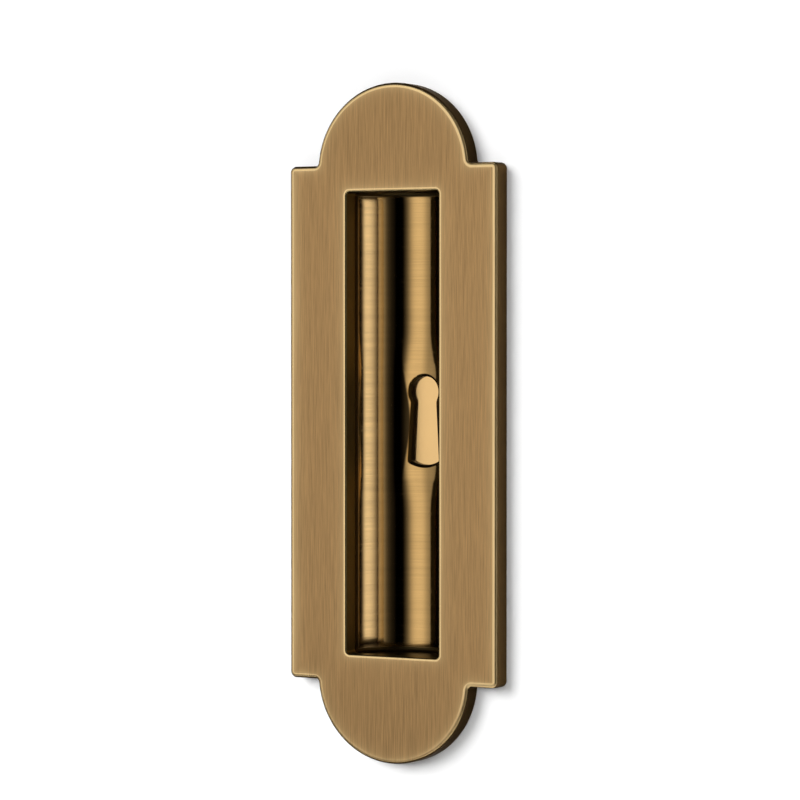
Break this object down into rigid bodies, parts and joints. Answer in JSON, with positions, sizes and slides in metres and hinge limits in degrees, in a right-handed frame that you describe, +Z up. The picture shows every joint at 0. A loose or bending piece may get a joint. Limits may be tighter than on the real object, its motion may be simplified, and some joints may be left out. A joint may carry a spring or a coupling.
{
  "type": "flush pull",
  "caption": "Brass flush pull for a sliding door: stepped plate with arched ends, half-round finger pocket, keyhole in the pocket's floor, rear fixing studs.",
  "frame": {"origin": "middle of the face plate's back face, the plane that lies against the door, midway between the two fixing studs", "axes": "+Z up the door along the long side, +X to the right as seen from the front, +Y into the door along the studs; the front faces -Y"},
  "size_m": [0.062, 0.022, 0.178],
  "materials": {
    "face_brass": "fine upright brushing, burnished edges",
    "pocket_brass": "polished, with faint turned lines across",
    "backing_brass": "satin",
    "screw_brass": "satin",
    "stud_steel": "turned, zinc-bright"
  },
  "bodies": {
    "root": {"face_plate": "face_brass", "pocket": "pocket_brass", "keyhole_backing": "backing_brass", "flange_screw_1": "screw_brass", "flange_screw_2": "screw_brass", "flange_screw_3": "screw_brass", "flange_screw_4": "screw_brass", "backing_screw_left": "screw_brass", "backing_screw_right": "screw_brass", "fixing_stud_top": "stud_steel", "fixing_stud_bottom": "stud_steel"}
  },
  "joints": []
}
